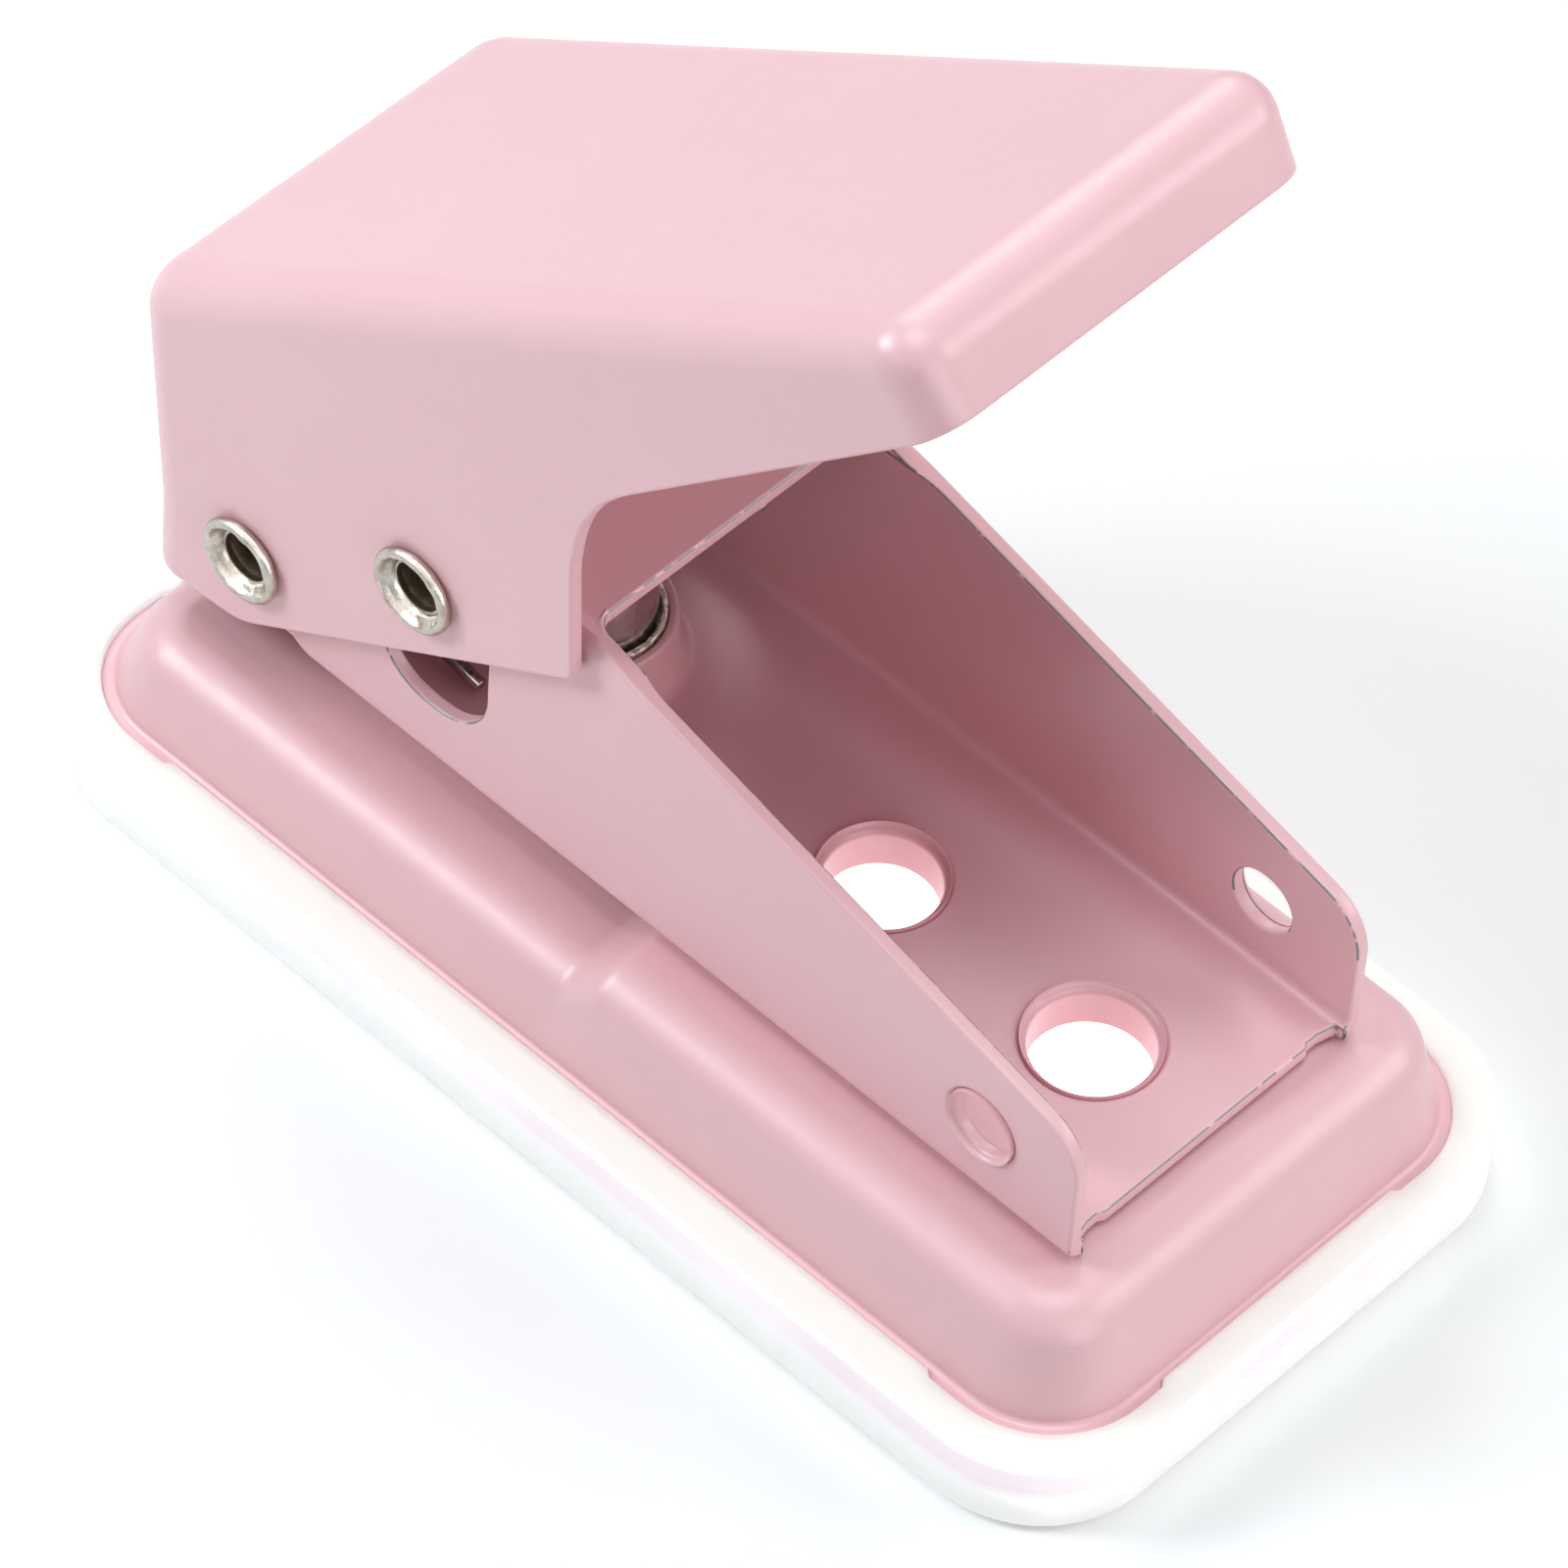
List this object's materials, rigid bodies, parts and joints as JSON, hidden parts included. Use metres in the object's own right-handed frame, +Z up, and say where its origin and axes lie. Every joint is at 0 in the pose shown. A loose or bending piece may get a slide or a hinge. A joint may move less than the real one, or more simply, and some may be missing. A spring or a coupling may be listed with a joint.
{
  "type": "one-hole paper punch",
  "caption": "Compact desk paper punch: stamped base, channel frame, hinged press handle, spring-returned punch pin and pull-off chip tray.",
  "frame": {"origin": "centre of the chip tray's footprint on the table", "axes": "+X along the base towards the handle's free end, +Y to the left seen from the rear, +Z up"},
  "size_m": [0.1, 0.0512, 0.0929],
  "materials": {
    "pink_paint": "satin pink powder paint on stamped steel",
    "tray_plastic": "translucent white soft plastic",
    "nickel_plate": "bright nickel plate",
    "tool_steel": "ground steel",
    "spring_steel": "drawn wire"
  },
  "bodies": {
    "base": {"base_shell": "pink_paint", "punch_frame": "pink_paint", "die_plate": "tool_steel", "guide_bush": "tool_steel", "pivot_rivet": "nickel_plate", "return_spring": "spring_steel"},
    "handle": {"handle": "pink_paint", "drive_rivet": "nickel_plate"},
    "punch": {"punch_pin": "tool_steel"},
    "tray": {"chip_tray": "tray_plastic"}
  },
  "joints": [
    {"name": "handle_press", "type": "hinge", "parent": "base", "child": "handle", "pos_m": [-0.0365, 0, 0.0244], "axis": [0, 1, 0], "range_deg": [0, 26], "stiffness_Nm_per_rad": 0.35, "springref_deg": -14.9, "deforming": ["return_spring"]},
    {"name": "punch_travel", "type": "slide", "parent": "base", "child": "punch", "axis": [0, 0, -1], "range_m": [0, 0.0086]},
    {"name": "tray_release", "type": "slide", "parent": "base", "child": "tray", "axis": [0, 0, -1], "range_m": [0, 0.03]}
  ],
  "couplings": [
    {"joint": "punch_travel", "follows": "handle_press", "m_per_rad": 0.01833}
  ]
}
